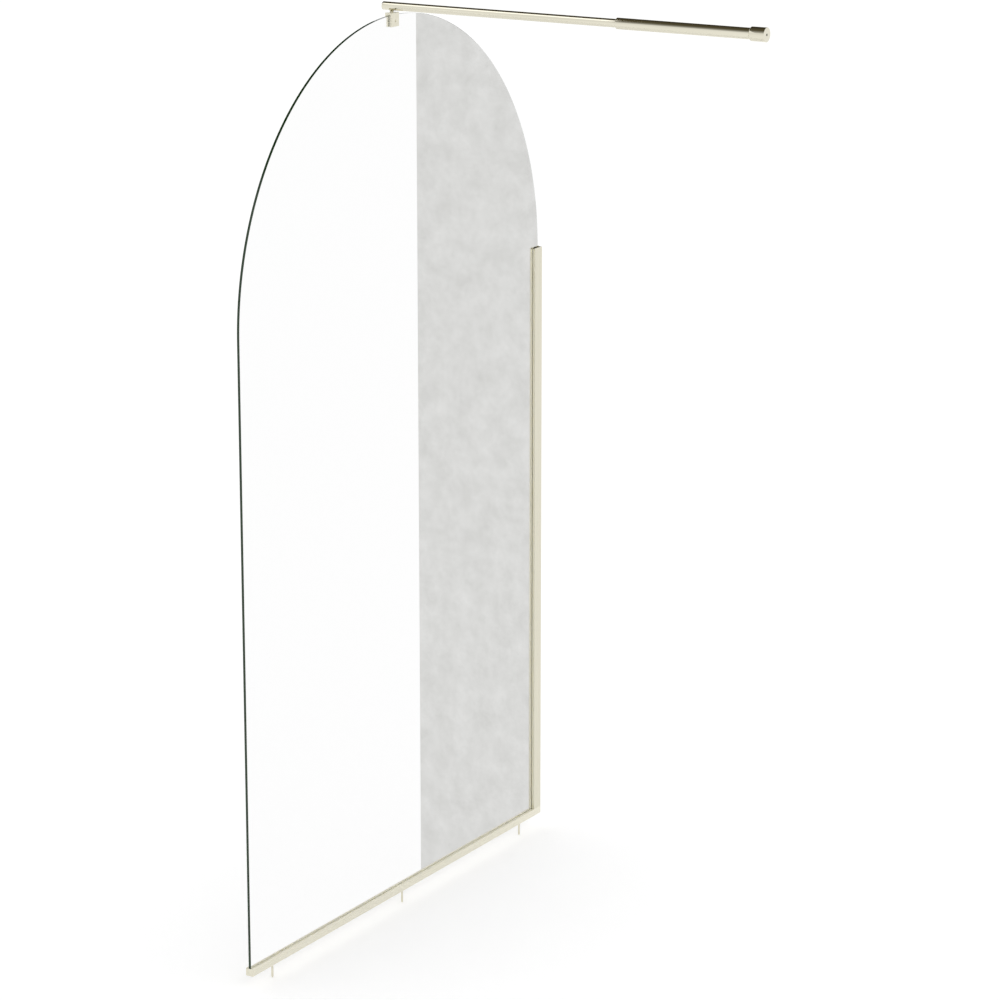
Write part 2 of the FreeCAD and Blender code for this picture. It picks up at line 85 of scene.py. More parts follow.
# Channels and seals
CHANNEL_WALL = 2 * MM
CHANNEL_ROUND = 0.35 * MM
RIB_START = 9 * MM
RIB_SIZE = 1 * MM
SEAL_RECESS = 0.2 * MM
SEAL_SLOPE = 0.4 * MM
SEAL_ROUND = 0.2 * MM
WALL_HOLE_RADIUS = 2.5 * MM
WALL_HOLE_INSET = 80 * MM
WALL_HOLE_COUNT = 4
CAP_ROUND = 0.7 * MM
CAP_PLATE = 1.5 * MM

# Floor pins
PIN_NODES = ("floor_pin_free_end", "floor_pin_middle", "floor_pin_wall_end")
PIN_NECK_RADIUS = 3 * MM
PIN_RADIUS = 2.5 * MM
PIN_TIP_RADIUS = 1.25 * MM
PIN_TIP_LENGTH = 3 * MM
PIN_HOLE_PLAY = 0.1 * MM
PIN_ROUND = 0.25 * MM

# Clamp and swivel
CLAMP_BRIDGE = 5 * MM
CLAMP_ROUND = 1 * MM
PAD_AIR = 0.05 * MM
PAD_ROUND = 0.15 * MM
SWIVEL_RADIUS = 2.5 * MM
SWIVEL_PLAY = 0.05 * MM
SADDLE_FOOT_RADIUS = 3.5 * MM
SADDLE_FOOT_HEIGHT = 0.6 * MM
SADDLE_TOP_RADIUS = 7.5 * MM
SADDLE_HEIGHT = 7.6 * MM
WASHER_PLAY = 0.2 * MM
WASHER_ROUND = 0.15 * MM

# Stabiliser bar
TUBE_ROUND = 0.3 * MM
INNER_TUBE_WALL = 1.2 * MM
OUTER_TUBE_WALL = 1.5 * MM
PLUG_FIT = 0.1 * MM
PLUG_ROUND = 0.7 * MM
BUSH_PLAY = 0.05 * MM
FLANGE_PLAY = 0.05 * MM
FLANGE_MOUTH_CHAMFER = 2 * MM
FLANGE_ROUND = 0.6 * MM
FLANGE_BASE = 4 * MM
FLANGE_HOLE_RADIUS = 2.5 * MM
FLANGE_SINK_RADIUS = 4.5 * MM

# Grub screws, each with the width of its hexagon socket
SCREW_PLAY = 0.05 * MM
SCREW_EDGE = 0.3 * MM
SOCKET_DEPTH = 0.9 * MM
SET_SCREW_SOCKET = 3 * MM
LOCK_SCREW_SOCKET = 2.5 * MM
FLANGE_SCREW_SOCKET = 2 * MM

# Patterns of the finishes; the middle of a noise, from low to high, is what varies a surface
NOISE_LOW = 0.3
NOISE_HIGH = 0.7
NOISE_ROUGHNESS = 0.5
NOISE_DETAIL = 2.0
SKIN_DETAIL = 4.0
# The furnace rollers leave a long slow wave in the glass
ROLLER_WAVE = (900 * MM, 900 * MM, 280 * MM)
WAVE_HEIGHT = 0.2 * MM
WAVE_STRENGTH = 0.02
# Lines of wheel, die and polish are about 0.1 mm wide, and are drawn coarser so that they show
WHEEL_LINE = 2 * MM
WHEEL_LINE_LENGTH = 60 * MM
DIE_LINE = 1.5 * MM
DIE_LINE_LENGTH = 200 * MM
POLISH_LINE = 3 * MM
POLISH_LINE_LENGTH = 250 * MM
# The grain of blasting, plating and moulds is also finer than this, and drawn coarser
CAST_GRAIN = 8 * MM
PLATED_GRAIN = 3 * MM
VINYL_SKIN = 2 * MM
NYLON_SKIN = 1 * MM
# How high all these marks stand, and how strongly they show, from 0 to 1
MARK_HEIGHT = 0.02 * MM
METAL_MARKS = 0.05
PLASTIC_MARKS = 0.3
# How far light wanders inside pale plastic
LIGHT_DEPTH = 1.5 * MM

# Optics of the glass
GLASS_COLOUR = "#FDFDFD"
GLASS_IOR = 1.5

# Floor and light
WHITE = "#FFFFFF"
FLOOR_SPAN = 120.0
FLOOR_COLOUR = "#E8E8E8"
FLOOR_GLOW = 0.28
AMBIENT = 0.95
KEY_SIZE = 3.0
KEY_PLACE = (-4.5, -5.5, 5.0)
KEY_GLOW = 1.5

# Grey card far behind the pane
CARD_LOW = (3.0, 0.6, -1.8)
CARD_HIGH = (3.0, 1.85, 2.0)
CARD_DARK = "#C7C7C4"
CARD_PALE = "#DBDBD9"
CARD_CLOUD = 75 * MM
CLOUD_DETAIL = 5.0
CLOUD_ROUGHNESS = 0.7

# Dark flag over the bar, only mirrored; along X it deepens in one stretch and fades to white in another
FLAG_HEIGHT = 3.65
FLAG_LOW = (-5.0, -3.5)
FLAG_HIGH = (3.6, 2.8)
FLAG_DARK = "#58523F"
FLAG_DARKEST = "#272318"
FLAG_DEEPENS = (-0.3, 1.7)
FLAG_FADES = (-0.8, FLAG_LOW[0])

# Cards under the flag, each with the shares of the thin tube's height, from its top, that it fills
WHITE_HEIGHT = 3.6
WHITE_SHARES = (0.28, 0.462)
WHITE_GLOW = 1.0
BRIGHT_HEIGHT = 3.57
BRIGHT_SHARES = (0.205, 0.33)
BRIGHT_GLOW = 1.6
CARD_STEPS = 5

# Camera, fitted to the outline of the pane; its focal length is a share of the picture's width
CAMERA_PLACE = (-6.522, -4.176, 2.956)
CAMERA_AZIMUTH = math.radians(-59.0)
CAMERA_ELEVATION = math.radians(14.84)
FOCAL_SHARE = 3.664


# Places in the frame

def middle_of(node):
    low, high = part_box(node)
    return (low + high) / 2


def radius_of(node):
    """Half the width along X of a round node."""
    low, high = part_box(node)
    return (high.x - low.x) / 2


def pin_place(node):
    """The point on the floor under the middle of a pin."""
    return Vector((middle_of(node).x, 0, 0))


def swivel_axis():
    """The point on the swivel's axis at the foot of the saddle."""
    return Vector((middle_of("tube_saddle").x, 0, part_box("tube_saddle")[0].z))


def bar_start(node):
    """The point on the bar's axis at the end of a node that is nearer to the clamp."""
    middle = middle_of(node)
    return Vector((middle.x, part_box(node)[1].y, middle.z))


def bar_length(node):
    low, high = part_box(node)
    return high.y - low.y


def arch_height(across):
    """The height of the pane's edge at a place along X."""
    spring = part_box("wall_channel")[1].z
    off_middle = across - middle_of("glass_panel").x
    return spring + math.sqrt(radius_of("glass_panel") ** 2 - off_middle ** 2)


# Modelling steps

def clear_selection():
    bpy.ops.object.select_all(action="DESELECT")


def pick(piece):
    """Make a piece the active one, and the only one selected."""
    clear_selection()
    piece.select_set(True)
    bpy.context.view_layer.objects.active = piece


def started(name):
    """Make a piece of the object just added: its place goes into its mesh, and edit mode opens."""
    piece = bpy.context.object
    piece.name = name
    piece.data.name = name
    bpy.ops.object.transform_apply(location=True, rotation=True, scale=True)
    bpy.ops.object.mode_set(mode="EDIT")
    bpy.ops.mesh.select_all(action="SELECT")
    return piece


def extrude(move):
    bpy.ops.mesh.extrude_region_move(TRANSFORM_OT_translate={"value": move})


def select_points(piece, wanted):
    """In edit mode, select the points that pass the test, with the edges and faces between them."""
    bpy.ops.mesh.select_mode(type="VERT")
    bpy.ops.mesh.select_all(action="DESELECT")
    mesh = bmesh.from_edit_mesh(piece.data)
    for point in mesh.verts:
        point.select_set(wanted(point.co))
    mesh.select_flush(True)
    bmesh.update_edit_mesh(piece.data)


def closed(piece):
    """Merge the seams, turn the faces outwards and leave edit mode."""
    bpy.ops.mesh.select_all(action="SELECT")
    bpy.ops.mesh.remove_doubles(threshold=NEAR)
    bpy.ops.mesh.normals_make_consistent(inside=False)
    bpy.ops.object.mode_set(mode="OBJECT")
    return piece


def rounded(piece, width, segments=ROUND_STEPS):
    """Break the sharp edges of a closed piece, and merge the points where two of the roundings meet."""
    bevel = piece.modifiers.new("edges", "BEVEL")
    bevel.width = width
    bevel.segments = segments
    bevel.limit_method = "ANGLE"
    bevel.angle_limit = SHARP_ANGLE
    bpy.ops.object.modifier_apply(modifier=bevel.name)
    bpy.ops.object.mode_set(mode="EDIT")
    return closed(piece)


def cut(piece, cutter):
    """Take the cutter's shape out of the piece."""
    pick(piece)
    boolean = piece.modifiers.new("cut", "BOOLEAN")
    boolean.operation = "DIFFERENCE"
    boolean.solver = "EXACT"
    boolean.object = cutter
    bpy.ops.object.modifier_apply(modifier=boolean.name)
    bpy.data.objects.remove(cutter)


def turned(name, start, axis, stations, bored=False):
    """A round piece: a ring of points about the axis is extruded and scaled from station to station.

    A station is (distance from start along the axis, radius). A bored piece goes back to its first station
    through the bore; a solid one has its two ends filled.
    """
    distance, radius = stations[0]
    clear_selection()
    bpy.ops.mesh.primitive_circle_add(
        vertices=RING_POINTS, radius=radius, location=start + axis * distance,
        rotation=axis.to_track_quat("Z", "Y").to_euler())
    piece = started(name)
    if bored:
        stations = stations + stations[:1]
    for next_distance, next_radius in stations[1:]:
        extrude(axis * (next_distance - distance))
        bpy.ops.transform.resize(
            value=(next_radius / radius,) * 3, center_override=start + axis * next_distance)
        distance, radius = next_distance, next_radius
    if not bored:
        bpy.ops.mesh.select_all(action="SELECT")
        bpy.ops.mesh.fill_holes(sides=0)
    return closed(piece)


def flat(name, corners):
    """A flat face: a point is extruded round the corners, and the outline is filled."""
    clear_selection()
    bpy.ops.mesh.primitive_plane_add(size=MM, location=corners[0])
    piece = started(name)
    bpy.ops.mesh.merge(type="CENTER")
    for corner, following in zip(corners, corners[1:]):
        extrude(following - corner)
    bpy.ops.mesh.select_all(action="SELECT")
    bpy.ops.mesh.edge_face_add()
    return piece


def drawn(name, corners, along):
    """A piece of one section: a flat face is drawn out."""
    piece = flat(name, corners)
    extrude(along)
    return closed(piece)


def block(name, low, high):
    clear_selection()
    bpy.ops.mesh.primitive_cube_add(size=1, location=(low + high) / 2, scale=high - low)
    return closed(started(name))


def rod(name, middle, axis, radius, length, sides=RING_POINTS):
    """A straight cutter for bores and sockets."""
    clear_selection()
    bpy.ops.mesh.primitive_cylinder_add(
        vertices=sides, radius=radius, depth=length, location=middle,
        rotation=axis.to_track_quat("Z", "Y").to_euler())
    return closed(started(name))


# Pane

def pane():
    """Half of a disc is kept, its straight edge is pulled down, and all is made as thick as the glass.

    A hair of air on both faces keeps the glass apart from the seals that press on it.
    """
    low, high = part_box("glass_panel")
    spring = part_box("wall_channel")[1].z
    thickness = high.y - low.y - 2 * GLASS_AIR
    middle = Vector((middle_of("glass_panel").x, low.y + GLASS_AIR, spring))
    clear_selection()
    bpy.ops.mesh.primitive_circle_add(
        vertices=ARCH_POINTS, radius=radius_of("glass_panel"), fill_type="NGON", location=middle,
        rotation=(math.pi / 2, 0, 0))
    piece = started("pane")
    bpy.ops.mesh.bisect(plane_co=middle, plane_no=UP, clear_inner=True)
    select_points(piece, lambda place: abs(place.z - spring) < NEAR)
    extrude(UP * (low.z - spring))
    bpy.ops.mesh.select_all(action="SELECT")
    extrude(BACK * thickness)
    return rounded(closed(piece), GLASS_ARRIS, segments=1)


# Channels and seals

def channel_section(depth, half):
    """The U as (across, distance in from the mouth): two legs, each with a rib inside, and the web."""
    inside = half - CHANNEL_WALL
    leg = [
        (half, 0),
        (inside, 0),
        (inside, RIB_START),
        (inside - RIB_SIZE, RIB_START),
        (inside - RIB_SIZE, RIB_START + RIB_SIZE),
        (inside, RIB_START + RIB_SIZE),
        (inside, depth - CHANNEL_WALL),
    ]
    return leg + [(-across, inward) for across, inward in reversed(leg)] + [(-half, depth), (half, depth)]


def wall_channel():
    low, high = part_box("wall_channel")
    section = channel_section(high.x - low.x, high.y)
    corners = [Vector((low.x + inward, across, low.z)) for across, inward in section]
    piece = rounded(drawn("wall_profile", corners, UP * (high.z - low.z)), CHANNEL_ROUND)
    first = low.z + WALL_HOLE_INSET
    step = (high.z - low.z - 2 * WALL_HOLE_INSET) / (WALL_HOLE_COUNT - 1)
    for count in range(WALL_HOLE_COUNT):
        place = Vector((high.x, 0, first + step * count))
        cut(piece, rod("wall_hole", place, RIGHT, WALL_HOLE_RADIUS, THROUGH * CHANNEL_WALL))
    return piece


def floor_channel():
    low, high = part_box("floor_channel")
    section = channel_section(high.z - low.z, high.y)
    corners = [Vector((low.x, across, high.z - inward)) for across, inward in section]
    piece = rounded(drawn("floor_profile", corners, RIGHT * (high.x - low.x)), CHANNEL_ROUND)
    hole = PIN_NECK_RADIUS + PIN_HOLE_PLAY
    for node in PIN_NODES:
        cut(piece, rod("pin_hole", pin_place(node), UP, hole, THROUGH * CHANNEL_WALL))
    return piece


def end_cap():
    """A rounded plate over the channel's end; its tongue, out of sight under the pane, isn't drawn."""
    low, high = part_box("floor_channel_end_cap")
    piece = block("profile_end_cap", low, Vector((low.x + CAP_PLATE, high.y, high.z)))
    return rounded(piece, CAP_ROUND)


def seal_section(side, leg, glass):
    """A strip between pane and leg, sloped at the mouth so that water runs off; (across, distance in)."""
    return [
        (side * glass, SEAL_RECESS),
        (side * leg, SEAL_RECESS + SEAL_SLOPE),
        (side * leg, RIB_START),
        (side * glass, RIB_START),
    ]


def seals():
    """The four strips, as pairs of node name and piece."""
    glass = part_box("glass_panel")[1].y
    wall_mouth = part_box("wall_channel")[0].x
    floor_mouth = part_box("floor_channel")[1].z
    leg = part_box("wall_channel")[1].y - CHANNEL_WALL
    made = []
    for name, side in (("front", -1), ("back", 1)):
        section = seal_section(side, leg, glass)
        low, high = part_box("wall_gasket_" + name)
        corners = [Vector((wall_mouth + inward, across, low.z)) for across, inward in section]
        strip = drawn("wall_seal_" + name, corners, UP * (high.z - low.z))
        made.append(("wall_gasket_" + name, rounded(strip, SEAL_ROUND)))
        low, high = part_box("floor_gasket_" + name)
        corners = [Vector((low.x, across, floor_mouth - inward)) for across, inward in section]
        strip = drawn("floor_seal_" + name, corners, RIGHT * (high.x - low.x))
        made.append(("floor_gasket_" + name, rounded(strip, SEAL_ROUND)))
    return made


# Pins under the floor channel

def floor_pins():
    """The pins, as pairs of node name and piece: one is modelled, and the others are copies of it.

    A pin is pointed, its neck fills the channel's web, and its flat head lies inside the channel.
    """
    first, *others = PIN_NODES
    low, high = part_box(first)
    reach = -low.z
    head = radius_of(first)
    piece = rounded(turned(first.replace("floor_pin", "anchor_pin"), pin_place(first) + UP * low.z, UP, [
        (0, PIN_TIP_RADIUS),
        (PIN_TIP_LENGTH, PIN_RADIUS),
        (reach, PIN_RADIUS),
        (reach, PIN_NECK_RADIUS),
        (reach + CHANNEL_WALL, PIN_NECK_RADIUS),
        (reach + CHANNEL_WALL, head),
        (high.z - low.z, head),
    ]), PIN_ROUND)
    made = [(first, piece)]
    for node in others:
        pick(piece)
        bpy.ops.object.duplicate()
        bpy.context.object.location = pin_place(node) - pin_place(first)
        copied = started(node.replace("floor_pin", "anchor_pin"))
        made.append((node, closed(copied)))
    return made


# Clamp and swivel

def clamp_body():
    """A fork over the arch, bored for the swivel in its bridge and for the set screw in its front ear."""
    low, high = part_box("clamp_body")
    back_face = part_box("clamp_pad_back")[1].y
    front_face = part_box("clamp_pressure_plate")[0].y
    roof = high.z - CLAMP_BRIDGE
    outline = [
        (back_face, low.z), (high.y, low.z), (high.y, high.z), (low.y, high.z),
        (low.y, low.z), (front_face, low.z), (front_face, roof), (back_face, roof),
    ]
    corners = [Vector((low.x, across, up)) for across, up in outline]
    piece = rounded(drawn("clamp_fork", corners, RIGHT * (high.x - low.x)), CLAMP_ROUND)
    cut(piece, rod("bearing", swivel_axis(), UP, SWIVEL_RADIUS + SWIVEL_PLAY, THROUGH * CLAMP_BRIDGE))
    thread = radius_of("clamp_set_screw") + SCREW_PLAY
    twice_the_ear = 2 * (front_face - low.y)
    cut(piece, rod("thread", middle_of("clamp_set_screw"), BACK, thread, twice_the_ear))
    return piece


def clamp_pad(node, name):
    """A soft pad that folds over half of the pane's edge; the fold's underside follows the arch."""
    low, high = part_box(node)
    glass, outer = sorted((low.y, high.y), key=abs)
    fold_end = math.copysign(PAD_AIR, glass)
    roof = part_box("clamp_body")[1].z - CLAMP_BRIDGE - 2 * PAD_AIR
    far_edge = arch_height(high.x) + PAD_AIR
    outline = [
        (glass, low.z), (outer, low.z), (outer, roof),
        (fold_end, roof), (fold_end, far_edge), (glass, far_edge),
    ]
    corners = [Vector((low.x, across, up)) for across, up in outline]
    piece = drawn(name, corners, RIGHT * (high.x - low.x))
    bpy.ops.object.mode_set(mode="EDIT")
    select_points(piece, lambda place: place.x < low.x + NEAR and abs(place.z - far_edge) < NEAR)
    bpy.ops.transform.translate(value=UP * (arch_height(low.x) - arch_height(high.x)))
    bpy.ops.object.mode_set(mode="OBJECT")
    return rounded(piece, PAD_ROUND)


def saddle():
    """A collar that widens to the round of the tube, which hollows its top."""
    foot = swivel_axis()
    bore = SWIVEL_RADIUS + SWIVEL_PLAY
    piece = turned("bar_saddle", foot, UP, [
        (0, bore),
        (0, SADDLE_FOOT_RADIUS),
        (SADDLE_FOOT_HEIGHT, SADDLE_FOOT_RADIUS),
        (SADDLE_HEIGHT, SADDLE_TOP_RADIUS),
        (SADDLE_HEIGHT, bore),
    ], bored=True)
    low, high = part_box("inner_tube")
    seat = Vector((foot.x, 0, (low.z + high.z) / 2))
    cut(piece, rod("tube_seat", seat, BACK, (high.z - low.z) / 2, THROUGH * SADDLE_TOP_RADIUS))
    return piece


def washer():
    low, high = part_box("swivel_washer")
    start = Vector((middle_of("swivel_washer").x, 0, low.z))
    bore = SWIVEL_RADIUS + WASHER_PLAY
    radius = radius_of("swivel_washer")
    thickness = high.z - low.z
    ring = [(0, bore), (0, radius), (thickness, radius), (thickness, bore)]
    return rounded(turned("slip_washer", start, UP, ring, bored=True), WASHER_ROUND)


def grub_screw(node, name, outward, socket):
    """A headless screw; outward points from its tip to the hexagon socket in its end."""
    low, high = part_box(node)
    length = abs((high - low).dot(outward))
    radius = radius_of(node)
    tip = middle_of(node) - outward * (length / 2)
    piece = turned(name, tip, outward, [
        (0, radius - SCREW_EDGE),
        (SCREW_EDGE, radius),
        (length - SCREW_EDGE, radius),
        (length, radius - SCREW_EDGE),
    ])
    end = tip + outward * length
    cut(piece, rod("socket", end, outward, socket / math.sqrt(3), 2 * SOCKET_DEPTH, sides=6))
    return piece


# Stabiliser bar

def tube(node, name, wall):
    length = bar_length(node)
    radius = radius_of(node)
    bore = radius - wall
    ring = [(0, bore), (0, radius), (length, radius), (length, bore)]
    return rounded(turned(name, bar_start(node), -BACK, ring, bored=True), TUBE_ROUND)


def screw_bore(piece, node):
    """Open the underside of a tube for a grub screw."""
    low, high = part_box(node)
    radius = radius_of(node) + SCREW_PLAY
    cut(piece, rod("screw_bore", middle_of(node), UP, radius, THROUGH * (high.z - low.z)))


def inner_tube():
    piece = tube("inner_tube", "thin_tube", INNER_TUBE_WALL)
    place = swivel_axis()
    place.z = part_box("inner_tube")[0].z
    cut(piece, rod("swivel_bore", place, UP, SWIVEL_RADIUS + SWIVEL_PLAY, THROUGH * INNER_TUBE_WALL))
    return piece


def end_plug():
    """A button with a rounded rim on a plain spigot."""
    start = bar_start("inner_tube_end_plug")
    radius = radius_of("inner_tube_end_plug")
    button = start.y - bar_start("inner_tube").y
    spigot = radius - INNER_TUBE_WALL - PLUG_FIT
    return rounded(turned("thin_tube_button", start, -BACK, [
        (0, radius),
        (button, radius),
        (button, spigot),
        (bar_length("inner_tube_end_plug"), spigot),
    ]), PLUG_ROUND)


def outer_tube():
    piece = tube("outer_tube", "thick_tube", OUTER_TUBE_WALL)
    screw_bore(piece, "tube_lock_screw")
    return piece


def bush():
    wall = radius_of("outer_tube_bush") - radius_of("inner_tube") - BUSH_PLAY
    piece = tube("outer_tube_bush", "mouth_bush", wall)
    screw_bore(piece, "tube_lock_screw")
    return piece


def flange():
    """A cup with a chamfered mouth over the tube's end, and a sunk screw hole through its base."""
    length = bar_length("wall_flange")
    radius = radius_of("wall_flange")
    bore = radius_of("outer_tube") + FLANGE_PLAY
    base = length - FLANGE_BASE
    piece = rounded(turned("end_flange", bar_start("wall_flange"), -BACK, [
        (0, bore),
        (0, radius - FLANGE_MOUTH_CHAMFER),
        (FLANGE_MOUTH_CHAMFER, radius),
        (length, radius),
        (length, FLANGE_HOLE_RADIUS),
        (base + FLANGE_SINK_RADIUS - FLANGE_HOLE_RADIUS, FLANGE_HOLE_RADIUS),
        (base, FLANGE_SINK_RADIUS),
        (base, bore),
    ], bored=True), FLANGE_ROUND)
    screw_bore(piece, "flange_grub_screw")
    return piece


# Materials

def linear(colour):
    """An sRGB hex colour as linear red, green, blue and full alpha."""
    shares = [int(colour[place:place + 2], 16) / 255 for place in (1, 3, 5)]
    return [s / 12.92 if s <= 0.04045 else ((s + 0.055) / 1.055) ** 2.4 for s in shares] + [1]


def add(tree, kind, inputs=None, **settings):
    """Add a node with its settings; inputs gives each socket a value or the socket that feeds it."""
    made = tree.nodes.new(kind)
    for name, setting in settings.items():
        setattr(made, name, setting)
    for name, value in (inputs or {}).items():
        if isinstance(value, bpy.types.NodeSocket):
            tree.links.new(value, made.inputs[name])
        else:
            made.inputs[name].default_value = value
    return made


def new_tree(name):
    material = bpy.data.materials.new(name)
    material.use_nodes = True
    material.node_tree.nodes.clear()
    return material, material.node_tree


def grain(tree, size, detail=NOISE_DETAIL, roughness=NOISE_ROUGHNESS):
    """Noise on object coordinates, whose grains are about size (x, y, z) metres."""
    place = add(tree, "ShaderNodeTexCoord")
    scaled = add(tree, "ShaderNodeMapping", {
        "Vector": place.outputs["Object"], "Scale": [1 / side for side in size]})
    noise = add(tree, "ShaderNodeTexNoise", {
        "Vector": scaled.outputs[0], "Scale": 1.0, "Detail": detail, "Roughness": roughness})
    return noise.outputs[0]


def varied(tree, noise, tones, roughness):
    """Colour and gloss that run together, each between its two values, over the middle of a noise."""
    spread = add(tree, "ShaderNodeMapRange", {
        "Value": noise, "From Min": NOISE_LOW, "From Max": NOISE_HIGH}).outputs[0]
    colour = add(tree, "ShaderNodeMix", {
        "Factor": spread, "A": linear(tones[0]), "B": linear(tones[1])}, data_type="RGBA")
    gloss = add(tree, "ShaderNodeMapRange", {
        "Value": spread, "To Min": roughness[0], "To Max": roughness[1]})
    return colour.outputs["Result"], gloss.outputs[0]


def toughened_glass():
    """Toughened float glass: clear and sharp, with the faint long wave that the furnace rollers leave."""
    material, tree = new_tree("toughened_float_glass")
    bump = add(tree, "ShaderNodeBump", {
        "Height": grain(tree, ROLLER_WAVE, detail=0.0), "Strength": WAVE_STRENGTH, "Distance": WAVE_HEIGHT})
    glass = add(tree, "ShaderNodeBsdfPrincipled", {
        "Base Color": linear(GLASS_COLOUR),
        "Roughness": 0.0,
        "IOR": GLASS_IOR,
        "Transmission Weight": 1.0,
        "Normal": bump.outputs[0],
    })
    add(tree, "ShaderNodeOutputMaterial", {"Surface": glass.outputs[0]})
    return material


def glass_edge():
    """The same glass on its ground and polished rim.

    From outside the eye looks along the sheet, into deep green; from inside, through the face of the pane,
    the rim stays clear.
    """
    material, tree = new_tree("polished_glass_edge")
    wheel = grain(tree, (WHEEL_LINE_LENGTH, WHEEL_LINE, WHEEL_LINE_LENGTH))
    green, gloss = varied(tree, wheel, tones=("#0A2A0A", "#123010"), roughness=(0.02, 0.05))
    inside = add(tree, "ShaderNodeNewGeometry").outputs["Backfacing"]
    colour = add(tree, "ShaderNodeMix", {
        "Factor": inside, "A": green, "B": linear(GLASS_COLOUR)}, data_type="RGBA")
    edge = add(tree, "ShaderNodeBsdfPrincipled", {
        "Base Color": colour.outputs["Result"],
        "Roughness": gloss,
        "IOR": GLASS_IOR,
        "Transmission Weight": inside,
    })
    add(tree, "ShaderNodeOutputMaterial", {"Surface": edge.outputs[0]})
    return material


def marked(name, tones, size, roughness, marks, sockets, detail=NOISE_DETAIL):
    """A surface whose marks, of this size along X, Y and Z, vary its colour, gloss and height.

    tones and roughness are pairs that the marks run between, marks is how strongly they show, and sockets
    are the shader's own values.
    """
    material, tree = new_tree(name)
    noise = grain(tree, size, detail)
    colour, gloss = varied(tree, noise, tones, roughness)
    bump = add(tree, "ShaderNodeBump", {"Height": noise, "Strength": marks, "Distance": MARK_HEIGHT})
    surface = add(tree, "ShaderNodeBsdfPrincipled", {
        "Base Color": colour,
        "Roughness": gloss,
        "Normal": bump.outputs[0],
        **sockets,
    })
    add(tree, "ShaderNodeOutputMaterial", {"Surface": surface.outputs[0]})
    return material


def metal(name, tones, size, roughness):
    return marked(name, tones, size, roughness, METAL_MARKS, {"Metallic": 1.0})


def upright_extrusion():
    """Anodised aluminium, extruded: satin and warm, with die lines up the profile."""
    return metal("anodised_aluminium_upright", tones=("#D6D2C0", "#DEDAC8"),
                 size=(DIE_LINE, DIE_LINE, DIE_LINE_LENGTH), roughness=(0.24, 0.32))


def level_extrusion_painted_paler():
    """The same metal, with die lines along the floor profile; its colour is painted a shade paler to make up
    for the shaded floor that its faces mirror.
    """
    # Painted lighter tones: they offset the shade of the floor near the profile, which its faces mirror
    return metal("anodised_aluminium_level_painted_paler", tones=("#E4E0CE", "#EBE7D7"),
                 size=(DIE_LINE_LENGTH, DIE_LINE, DIE_LINE), roughness=(0.24, 0.32))


def coated_tube():
    """Drawn steel tube, polished and coated: nearly a mirror, with faint lines along the bar."""
    return metal("coated_steel_tube", tones=("#DAD6C4", "#E2DECD"),
                 size=(POLISH_LINE, POLISH_LINE_LENGTH, POLISH_LINE), roughness=(0.03, 0.06))


def coated_casting():
    """Zinc casting, coated like the tubes: a soft gloss with a slight unevenness that has no direction."""
    return metal("coated_zinc_casting", tones=("#DAD6C4", "#E2DECD"),
                 size=(CAST_GRAIN, CAST_GRAIN, CAST_GRAIN), roughness=(0.16, 0.24))


def plated_steel():
    """Zinc plated steel of screws and pins: greyer than the coated pieces, and a little dull."""
    return metal("zinc_plated_steel", tones=("#C6C3B4", "#D0CDBE"),
                 size=(PLATED_GRAIN, PLATED_GRAIN, PLATED_GRAIN), roughness=(0.22, 0.32))


def plastic(name, tones, skin, roughness):
    """Pale plastic with the fine skin of its die or mould; light wanders in a little below the surface."""
    return marked(name, tones, (skin, skin, skin), roughness, PLASTIC_MARKS, {
        "Subsurface Weight": 1.0,
        "Subsurface Radius": (1.0, 1.0, 1.0),
        "Subsurface Scale": LIGHT_DEPTH,
    }, SKIN_DETAIL)


def vinyl_seal():
    """Extruded vinyl: cream, dull and soft-edged."""
    return plastic("extruded_vinyl_seal", tones=("#ECE7CD", "#F3EFDA"),
                   skin=VINYL_SKIN, roughness=(0.45, 0.6))


def moulded_nylon():
    """Moulded nylon: off-white, with a slight sheen."""
    return plastic("moulded_nylon", tones=("#DAD6C6", "#E3DFD0"),
                   skin=NYLON_SKIN, roughness=(0.4, 0.55))


# Stage

def shown_rays(tree, *kinds):
    """A socket that is 1 for these kinds of ray and 0 for the others."""
    path = add(tree, "ShaderNodeLightPath")
    total = path.outputs[kinds[0]]
    for kind in kinds[1:]:
        either = add(tree, "ShaderNodeMath", {0: total, 1: path.outputs[kind]}, operation="MAXIMUM")
        total = either.outputs[0]
    return total


def stage_sheet(name, low, high):
    """A flat rectangle between two corners, which share their X or their Z."""
    low, high = Vector(low), Vector(high)
    size = high - low
    clear_selection()
    bpy.ops.mesh.primitive_plane_add(size=1, location=(low + high) / 2)
    sheet = bpy.context.object
    sheet.name = name
    if size.x == 0:
        sheet.rotation_euler = (0, math.pi / 2, 0)
        sheet.scale = (size.z, size.y, 1)
    else:
        sheet.scale = (size.x, size.y, 1)
    bpy.ops.object.transform_apply(location=True, rotation=True, scale=True)
    return sheet


def seen_only_by(sheet, *kinds):
    for kind in ("camera", "diffuse", "glossy", "transmission", "shadow", "volume_scatter"):
        setattr(sheet, "visible_" + kind, kind in kinds)


